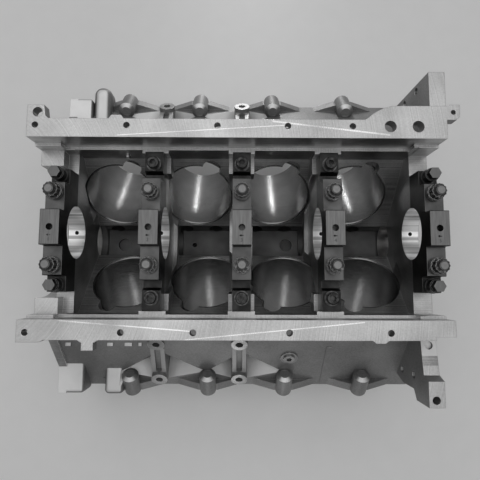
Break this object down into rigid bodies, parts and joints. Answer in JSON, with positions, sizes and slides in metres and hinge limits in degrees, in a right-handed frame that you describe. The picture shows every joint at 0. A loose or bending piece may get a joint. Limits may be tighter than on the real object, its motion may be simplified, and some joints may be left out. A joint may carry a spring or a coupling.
{
  "type": "engine block",
  "caption": "V8 cylinder block with its main bearing caps and sleeves, lying with the crankcase opening upwards.",
  "frame": {"origin": "on the crankshaft axis, at the middle of the centre main bearing", "axes": "+X along the crankshaft towards the bell housing, +Z out of the crankcase opening, +Y to the bank with the starter pad"},
  "size_m": [0.5265, 0.4653, 0.282],
  "materials": {
    "cast_aluminium": "blasted casting, machined faces",
    "honed_iron": "honed",
    "cap_steel": "black oxide with ground tops",
    "stud_steel": "dark",
    "black_steel": "black oxide",
    "washer_steel": "dull",
    "bearing_metal": "machined",
    "plug_steel": "dull"
  },
  "bodies": {
    "root": {"bell_housing_dowels": "plug_steel", "cam_bearing_1": "bearing_metal", "cam_bearing_2": "bearing_metal", "cam_bearing_3": "bearing_metal", "cam_bearing_4": "bearing_metal", "cam_bearing_5": "bearing_metal", "coolant_drain_plugs": "plug_steel", "cylinder_sleeve_1": "honed_iron", "cylinder_sleeve_2": "honed_iron", "cylinder_sleeve_3": "honed_iron", "cylinder_sleeve_4": "honed_iron", "cylinder_sleeve_5": "honed_iron", "cylinder_sleeve_6": "honed_iron", "cylinder_sleeve_7": "honed_iron", "cylinder_sleeve_8": "honed_iron", "ear_bolt_washers": "washer_steel", "ear_bolts": "black_steel", "end_cap_bolts": "black_steel", "end_cap_washers": "washer_steel", "engine_block": "cast_aluminium", "main_cap_1": "cap_steel", "main_cap_2": "cap_steel", "main_cap_3": "cap_steel", "main_cap_4": "cap_steel", "main_cap_5": "cap_steel", "main_stud_nuts": "black_steel", "main_stud_washers": "washer_steel", "main_studs": "stud_steel", "oil_gallery_plugs": "plug_steel", "rear_cam_plug": "plug_steel"}
  },
  "joints": []
}
